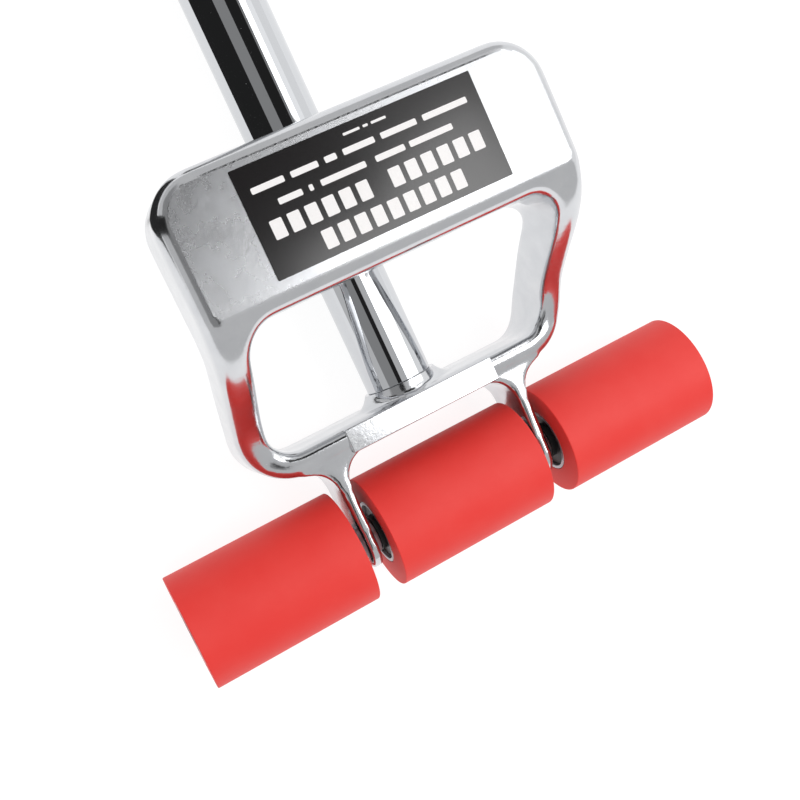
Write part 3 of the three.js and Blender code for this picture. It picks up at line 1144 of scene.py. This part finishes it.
    def build(self) -> Object:
        """Casts the head in one piece and grinds its face.

        Returns:
            The head.
        """
        loop = self.loop()
        apply_modifier(loop, "REMESH", mode="VOXEL", voxel_size=self.voxel * MM)
        apply_modifier(loop, "SMOOTH", factor=0.5, iterations=5)
        self.lift(loop)
        head = joined("head_casting_body", [loop, self.leg(-1), self.leg(1), self.boss()])
        apply_modifier(head, "REMESH", mode="VOXEL", voxel_size=self.voxel * MM)
        apply_modifier(head, "SMOOTH", factor=0.5, iterations=10)
        head = joined("head_casting_body", [head, self.flat_bar()])
        self.machine(head)
        edit(head)
        select_edges(head, lambda a, b: min(a.z, b.z) > self.face_z - 0.01)
        bpy.ops.mesh.mark_sharp()
        bpy.ops.object.mode_set(mode="OBJECT")
        smooth(head, 32)
        return fit(head, "buffed_cast_aluminium", Body.HEAD, ["head_casting"])

    def machine(self, head: Object) -> None:
        """Grinds the face of the grip flat and bores the head for the axle and the tube screw.

        Args:
            head: The raw casting.
        """
        edit(head, "SELECT")
        ground = BENCH.at(0, 0, self.face_z)
        bpy.ops.mesh.bisect(plane_co=ground, plane_no=(0, 0, 1), clear_outer=True, use_fill=True)
        bpy.ops.object.mode_set(mode="OBJECT")
        cut(head, turned("facing_cutter", self.facing_outline, Axis.HANDLE, 64, closed=False))
        cut(head, turned("screw_cutter", self.screw_outline, Axis.HANDLE, 48, closed=False))
        cut(head, turned("axle_cutter", self.axle_outline, Axis.ROLLERS, 48, closed=False))


# ---------------------------------------------------------------- rollers, axle and tubes
@dataclass
class Roller:
    """One rubber-covered roller with its steel core and its two nylon bushes."""

    side: str
    body: Body
    centre: float
    left_is_free: bool
    right_is_free: bool
    radius: float = 19.05
    length: float = 57.15
    glue: float = 0.05
    core_outer: float = 10.8
    core_bore: float = 9.7
    bush_outer: float = 9.65
    bush_bore: float = 4.2
    free_depths: tuple[float, float] = (-15.0, -6.0)
    inner_depths: tuple[float, float] = (-10.2, -1.2)
    hub_radius: float = 6.0
    hub_height: float = 0.9

    def build(self) -> None:
        """Turns the sleeve, the core and both bushes."""
        half = self.length / 2
        low, high = self.centre - half, self.centre + half
        name = self.side + "_roller"
        cover = pipe_outline(self.core_outer + self.glue, self.radius, low, high)
        sleeve = turned(name + "_cover", cover, Axis.ROLLERS, 144)
        complete(sleeve, 0.35, 3, "ground_red_rubber", self.body, [name + "_sleeve"])
        pipe = pipe_outline(self.core_bore, self.core_outer, low, high)
        core = turned(name + "_tube", pipe, Axis.ROLLERS, 96)
        complete(core, 0.22, 3, "zinc_plated_steel", self.body, [name + "_core"])
        ends = (("left", low, -1, self.left_is_free), ("right", high, 1, self.right_is_free))
        for end, face, sign, free in ends:
            bush = self.bush(f"{name}_{end}_bearing", face, sign, free)
            complete(bush, 0.25, 2, "moulded_black_nylon", self.body, [f"{name}_{end}_bush"])

    def bush(self, name: str, face: float, sign: int, free: bool) -> Object:
        """Turns one bush; at the free end of the axle it sits deeper and has no hub.

        Args:
            name: Name of the piece.
            face: Place of the roller's end face along the rollers.
            sign: 1 where the bush faces right, -1 where it faces left.
            free: Whether the axle ends here.

        Returns:
            The bush.
        """
        deep, flush = self.free_depths if free else self.inner_depths
        outline = pipe_outline(self.bush_bore, self.bush_outer, deep, flush)
        if not free:
            top = self.hub_height
            outline[3:] = [(self.hub_radius, flush), (self.hub_radius, top), (self.bush_bore, top)]
        return turned(name, [(radius, face + sign * along) for radius, along in outline], Axis.ROLLERS, 72)


@dataclass
class AxleSet:
    """Axle with its spacers, end washers and spring clips."""

    radius: float = 4.0
    end: float = 93.75
    groove_radius: float = 3.2
    groove_start: float = 91.0
    groove_end: float = 92.3
    bore: float = 4.05
    washer: Point = (90.2, 1.5, 8.0)
    inner_spacer: Point = (30.65625, 2.0625, 6.0)
    outer_spacer: Point = (36.01875, 2.0625, 6.0)
    clip_middle: float = 91.65
    clip_outer: float = 6.5
    clip_inner: float = 3.25
    clip_thickness: float = 1.2
    clip_mouth: float = 40.0

    def build(self) -> None:
        """Turns the axle and everything that sits on it."""
        right = [
            (self.radius, self.groove_start), (self.groove_radius, self.groove_start),
            (self.groove_radius, self.groove_end), (self.radius, self.groove_end),
            (self.radius, self.end), (0, self.end),
        ]
        left = [(radius, -along) for radius, along in reversed(right)]
        axle = turned("roller_axle", left + right, Axis.ROLLERS, 64, closed=False)
        complete(axle, 0.25, 2, "zinc_plated_steel", Body.HEAD, ["axle"])
        for side, sign in (("left", -1), ("right", 1)):
            self.ring(f"{side}_washer", sign, self.washer, f"{side}_end_washer")
            self.ring(f"{side}_inside_spacer", sign, self.inner_spacer, f"{side}_inner_spacer")
            self.ring(f"{side}_outside_spacer", sign, self.outer_spacer, f"{side}_outer_spacer")
            self.clip(side, sign * self.clip_middle)

    def ring(self, name: str, side: int, sizes: Point, node: str) -> None:
        """Turns one plain ring.

        Args:
            name: Name of the piece.
            side: -1 for the left half of the axle and 1 for the right one.
            sizes: Its distance from the middle of the axle, its thickness and its outer radius.
            node: The CAD node that it replaces.
        """
        reach, thickness, outer = sizes
        middle = side * reach
        outline = pipe_outline(self.bore, outer, middle - thickness / 2, middle + thickness / 2)
        obj = turned(name, outline, Axis.ROLLERS, 72)
        complete(obj, 0.2, 2, "zinc_plated_steel", Body.HEAD, [node])

    def clip(self, side: str, middle: float) -> None:
        """Bends one open spring clip from a thin strip.

        Args:
            side: "left" or "right".
            middle: Its place along the rollers.
        """
        outer, inner = self.clip_outer, self.clip_inner
        mouth = math.radians(self.clip_mouth)
        reach = (outer + inner) / 2
        place = BENCH.at(middle, reach * math.cos(mouth), reach * math.sin(mouth))
        clear_selection()
        bpy.ops.mesh.primitive_plane_add(size=1, location=place, rotation=(mouth, 0, 0))
        obj = name_active(side + "_spring_clip")
        obj.scale = (self.clip_thickness * MM, (outer - inner) * MM, 1)
        edit(settle(obj), "SELECT")
        spin_selected(obj, 56, 2 * (math.pi - mouth), BENCH.at(middle, 0, 0), Axis.ROLLERS)
        complete(obj, 0.15, 2, "zinc_plated_steel", Body.HEAD, [side + "_axle_clip"], 50)


@dataclass
class TubeSet:
    """Two chromed tubes with the ferrule, the fixing screw and the plug that close them."""

    lower_radius: float = 11.1125
    lower_bore: float = 9.9125
    upper_radius: float = 12.7
    upper_bore: float = 11.6
    lower_reach: tuple[float, float] = (41.2, 354.65)
    upper_reach: tuple[float, float] = (100.55, 409.7)
    ferrule_outline: Outline = (
        (11.3125, 98), (13.6, 98), (14.15, 99.2), (14.15, 110.6), (13.4, 112), (12.75, 112), (12.75, 100.5),
        (11.3125, 100.5),
    )
    plug_outline: Outline = ((0, 406.2), (11.55, 406.2), (11.55, 409.7), (0, 409.7))
    screw_face: float = 28.575
    screw_outline: Outline = ((0, 28.575), (5, 28.575), (5, 33.575), (3, 33.575), (3, 70.2), (0, 70.2))
    socket_radius: float = 2.85
    socket_depth: float = 2.8

    def build(self) -> None:
        """Turns the tubes and their fittings."""
        lower = pipe_outline(self.lower_bore, self.lower_radius, *self.lower_reach)
        tube = turned("chromed_lower_tube", lower, Axis.HANDLE, 192)
        complete(tube, 0.3, 3, "chrome_plate", Body.HEAD, ["lower_tube"])
        upper = pipe_outline(self.upper_bore, self.upper_radius, *self.upper_reach)
        tube = turned("chromed_upper_tube", upper, Axis.HANDLE, 192)
        complete(tube, 0.3, 3, "chrome_plate", Body.HANDLE, ["upper_tube"])
        ferrule = turned("ferrule", self.ferrule_outline, Axis.HANDLE, 96)
        complete(ferrule, 0.3, 3, "moulded_black_nylon", Body.HANDLE, ["tube_ferrule"], 20)
        plug = turned("end_plug", self.plug_outline, Axis.HANDLE, 64, closed=False)
        complete(plug, 0.4, 2, "moulded_black_nylon", Body.HANDLE, ["upper_tube_end_plug"])
        self.screw()

    def screw(self) -> None:
        """Turns the tube's screw and sinks a hexagon socket into its head."""
        obj = turned("tube_screw_turned", self.screw_outline, Axis.HANDLE, 64, closed=False)
        round_edges(obj, 0.35, 3)
        clear_selection()
        bpy.ops.mesh.primitive_cylinder_add(
            vertices=6,
            radius=self.socket_radius * MM,
            depth=2 * self.socket_depth * MM,
            location=BENCH.at(0, self.screw_face, 0),
            rotation=(math.pi / 2, 0, 0),
        )
        cut(obj, settle(name_active("socket_cutter")))
        smooth(obj)
        fit(obj, "zinc_plated_steel", Body.HEAD, ["tube_screw"])


@dataclass
class HandGrip:
    """Ribbed rubber grip on the end of the handle."""

    bore: float = 12.75
    radius: float = 19.0
    neck: float = 15.5
    start: float = 294.75
    end: float = 412.75
    ribs_start: float = 310.75
    ribs_end: float = 400.75
    rib_pitch: float = 4.0
    rib_depth: float = 0.9
    groove: tuple[float, float, float] = (0.6, 1.5, 2.1)
    end_radius: float = 5.0
    end_steps: int = 8
    vent_radius: float = 2.5
    end_wall: float = 3.0

    def build(self) -> None:
        """Turns the grip with its collar, ribs and rounded end."""
        outline = [
            (self.bore, self.start), (self.neck - 1.0, self.start), (self.neck, self.start + 1.2),
            (self.neck, self.start + 6.0), (self.neck + 1.2, self.start + 9.5),
            (self.radius, self.start + 13.0),
        ]
        valley = self.radius - self.rib_depth
        falls, rises, top = self.groove
        rib = self.ribs_start
        while rib + self.rib_pitch < self.ribs_end:
            outline += [(self.radius, rib), (valley, rib + falls)]
            outline += [(valley, rib + rises), (self.radius, rib + top)]
            rib += self.rib_pitch
        turn = self.end_radius
        for step in range(self.end_steps + 1):
            angle = step / self.end_steps * math.pi / 2
            reach, along = turn * math.cos(angle), turn * math.sin(angle)
            outline.append((self.radius - turn + reach, self.end - turn + along))
        inside = self.end - self.end_wall
        outline += [(self.vent_radius, self.end), (self.vent_radius, inside), (self.bore, inside)]
        obj = turned("rubber_end_grip", outline, Axis.HANDLE, 120)
        round_edges(obj, 0.22, 2, 28)
        smooth(obj, 35)
        fit(obj, "moulded_black_rubber", Body.HANDLE, ["hand_grip"])


@dataclass
class FaceLabel:
    """Black film on the ground face of the grip, printed with plain white bars.

    A row is its lowest place, its height, the pitch of its blocks (0 for one bar) and its spans.
    """

    half_length: float = 36.4
    low_y: float = 85.45
    high_y: float = 115.95
    bottom: float = 63.5
    top: float = 63.75
    ink: float = 0.02
    gap_share: float = 0.3
    rows: tuple[tuple[float, float, float, tuple[tuple[float, float], ...]], ...] = (
        (87.6, 5.2, 5.0, ((-21.5, 23.5),)),
        (95.2, 5.2, 5.1, ((-33.0, -2.4), (2.4, 33.0))),
        (103.2, 1.7, 0.0, ((-27.5, -20.5), (-18.5, -17.3), (-15.0, -1.5), (1.5, 10.5), (12.0, 25.5))),
        (
            108.2, 1.7, 0.0,
            ((-33.0, -23.5), (-21.5, -13.5), (-11.5, -8.0), (-6.0, 3.5), (5.5, 16.5), (18.5, 32.5)),
        ),
        (112.9, 0.7, 0.0, ((-4.0, 1.0), (2.0, 3.5), (4.5, 9.0))),
    )

    def build(self) -> None:
        """Cuts the film and prints its rows of plain blocks and bars."""
        low, high = (-self.half_length, self.low_y, self.bottom), (self.half_length, self.high_y, self.top)
        film = block("label_film_sheet", low, high)
        self.round_corners(film, 0.4)
        complete(film, 0.05, 1, "black_label_film", Body.HEAD, ["label_plate"], 60)
        bars = []
        for low, height, pitch, spans in self.rows:
            for start, end in spans:
                count = max(1, round((end - start) / pitch)) if pitch else 1
                step = (end - start) / count
                gap = self.gap_share * step if pitch else 0.0
                for index in range(count):
                    left = start + index * step + gap / 2
                    right = left + step - gap
                    foot, head = (left, low, self.top - 0.01), (right, low + height, self.top + self.ink)
                    bar = block("bar", foot, head)
                    self.round_corners(bar, 0.3 * min(height, 1.2))
                    bars.append(bar)
        fit(joined("label_bars", bars), "white_label_ink", Body.HEAD)

    def round_corners(self, obj: Object, radius: float) -> None:
        """Rounds the four upright edges of a thin sheet.

        Args:
            obj: The sheet.
            radius: Radius of the corners in millimetres.
        """
        edit(obj)
        bevel_edges(obj, lambda a, b: abs(a.z - b.z) > 0.01, radius, 4)
        bpy.ops.object.mode_set(mode="OBJECT")


def dress_hidden_fittings(nodes: dict[str, Object]) -> None:
    """Gives the lock inside the tubes and the foot plug their materials; their CAD shapes stay.

    Args:
        nodes: The CAD objects by node name.
    """
    wanted = {
        "tube_foot_plug": "zinc_plated_steel",
        "lock_stud": "zinc_plated_steel",
        "lock_nut": "zinc_plated_steel",
        "lock_cone": "zinc_plated_steel",
        "lock_plug": "moulded_black_nylon",
        "lock_collet": "moulded_black_nylon",
    }
    for name, finish in wanted.items():
        nodes[name].data.materials.clear()
        nodes[name].data.materials.append(finish_of(finish))
        LOG.info("%s: %s", name, finish)


# ---------------------------------------------------------------- studio
@dataclass(frozen=True)
class Card:
    """A plain card beside or above the tool: its middle and sides in metres, its turn and its value."""

    name: str
    place: Point
    size: tuple[float, float]
    turn: Point = (0.0, 0.0, 0.0)
    value: float = 0.02
    shades: bool = False


@dataclass
class Studio:
    """Pale floor, soft lights and the dark flags that give the chrome its black bands."""

    floor_colour: str = "#808080"
    floor_glow: float = 0.87
    sky: float = 0.64
    cards: tuple[Card, ...] = (
        Card("flag_above_back", (0.07, 0.175, 1.08), (0.58, 0.49), value=0.02),
        Card("card_above_gap", (0.43, 0.235, 1.08), (0.14, 0.37), value=0.27),
        Card("card_above_left", (-0.86, 0.30, 1.08), (1.28, 3.2), value=0.3),
        Card("flag_above_front", (-0.285, -0.5, 1.07), (0.27, 0.9), value=0.02),
        Card("card_above_middle", (0.03, -0.5, 1.07), (0.36, 0.85), value=0.6),
        Card("card_above_corner", (0.64, 0.0, 1.095), (0.30, 0.30), value=0.6),
        Card("card_above_front", (1.15, -0.47, 1.09), (1.3, 0.66), value=2.3, shades=True),
        Card("card_above_right", (1.42, 0.6, 1.10), (0.88, 2.0), value=1.2),
        Card("card_right", (1.86, 0.3, 0.55), (1.1, 3.2), (0.0, math.pi / 2, 0.0), 1.0),
        Card("flag_left", (-0.8, 0.225, 0.45), (0.9, 0.39), (0.0, math.pi / 2, 0.0), 0.02),
        Card("flag_beside_tube", (-0.43, 0.165, 0.002), (0.74, 0.47), value=0.02),
    )

    def build(self) -> None:
        """Sets up the whole studio."""
        self.sky_light()
        self.floor()
        self.softbox("softbox_back", (0.735, 0.32, 1.09), (0.47, 0.44), 0.0, 1.6)
        self.softbox("softbox_front", (0.486, -0.418, 1.085), (0.34, 0.8), 20.0, 3.0)
        self.softbox("fill", (-0.3, 0.0, 1.3), (1.0, 1.0), 0.0, 3.0).visible_glossy = False
        for card in self.cards:
            self.hang(card)
        bpy.context.scene.view_settings.view_transform = "Standard"

    def sky_light(self) -> None:
        """Adds an even pale world."""
        world = bpy.data.worlds.new("studio_world")
        bpy.context.scene.world = world
        world.use_nodes = True
        world.node_tree.nodes.clear()
        glow = add_node(world.node_tree, "Background", None, {"Color": (1, 1, 1, 1), "Strength": self.sky})
        add_node(world.node_tree, "OutputWorld", None, None, {"Surface": glow.outputs[0]})

    def floor(self) -> None:
        """Adds the pale floor that the tool lies on: white translucent acrylic, lit from below."""
        clear_selection()
        bpy.ops.mesh.primitive_plane_add(size=12, location=(0, 0, -0.0002))
        floor = settle(name_active("studio_floor"))
        material, tree = blank_material("floor_acrylic")
        sheet = add_node(tree, "BsdfDiffuse", None, {"Color": linear(self.floor_colour)})
        glow = add_node(tree, "Emission", None, {"Color": (1, 1, 1, 1), "Strength": self.floor_glow})
        both = add_node(tree, "AddShader", None, None, {0: sheet.outputs[0], 1: glow.outputs[0]})
        add_node(tree, "OutputMaterial", None, None, {"Surface": both.outputs[0]})
        floor.data.materials.append(material)

    def softbox(
        self, name: str, place: Point, size: tuple[float, float], turn: float, power: float
    ) -> Object:
        """Adds one rectangular soft light that faces down.

        Args:
            name: Name of the light.
            place: Its middle, in metres.
            size: Its sides, in metres.
            turn: Its turn about the upright, in degrees.
            power: Its power in watts.

        Returns:
            The light.
        """
        data = bpy.data.lights.new(name, "AREA")
        data.shape = "RECTANGLE"
        data.size, data.size_y = size
        data.energy = power
        light = bpy.data.objects.new(name, data)
        light.location = place
        light.rotation_euler = (0.0, 0.0, math.radians(turn))
        bpy.context.scene.collection.objects.link(light)
        return light

    def hang(self, card: Card) -> None:
        """Hangs one card that the camera doesn't see.

        Args:
            card: The card.
        """
        clear_selection()
        bpy.ops.mesh.primitive_plane_add(size=1, location=card.place, rotation=card.turn)
        made = name_active(card.name)
        made.scale = (card.size[0], card.size[1], 1)
        settle(made)
        made.visible_camera = False
        made.visible_diffuse = card.shades
        made.visible_shadow = card.shades
        made.visible_transmission = False
        material, tree = blank_material(card.name)
        grey = (card.value, card.value, card.value, 1)
        glow = add_node(tree, "Emission", None, {"Color": grey, "Strength": 1.0})
        add_node(tree, "OutputMaterial", None, None, {"Surface": glow.outputs[0]})
        made.data.materials.append(material)


def place_camera() -> None:
    """Adds the camera, close above the head and looking along the tool."""
    clear_selection()
    turn = [math.radians(angle) for angle in (0.0996, -17.296, -25.969)]
    bpy.ops.object.camera_add(location=(-0.09888, -0.11551, 0.36239), rotation=turn)
    camera = bpy.context.object
    camera.data.sensor_width = 36.0
    camera.data.lens = 49.34
    camera.data.clip_start = 0.01
    camera.data.clip_end = 30.0
    bpy.context.scene.camera = camera


def main() -> None:
    """Builds the camera, the tool and the studio, and reports each piece."""
    logging.basicConfig(level=logging.WARNING, format="%(name)s: %(message)s")
    LOG.setLevel(logging.INFO)
    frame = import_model()
    BENCH.find_axle()
    place_camera()
    CastHead().build()
    AxleSet().build()
    Roller("left", Body.LEFT, -66.675, True, False).build()
    Roller("centre", Body.CENTRE, 0.0, False, False).build()
    Roller("right", Body.RIGHT, 66.675, False, True).build()
    TubeSet().build()
    HandGrip().build()
    FaceLabel().build()
    dress_hidden_fittings(frame["nodes"])
    Studio().build()


if __name__ == "__main__":
    main()
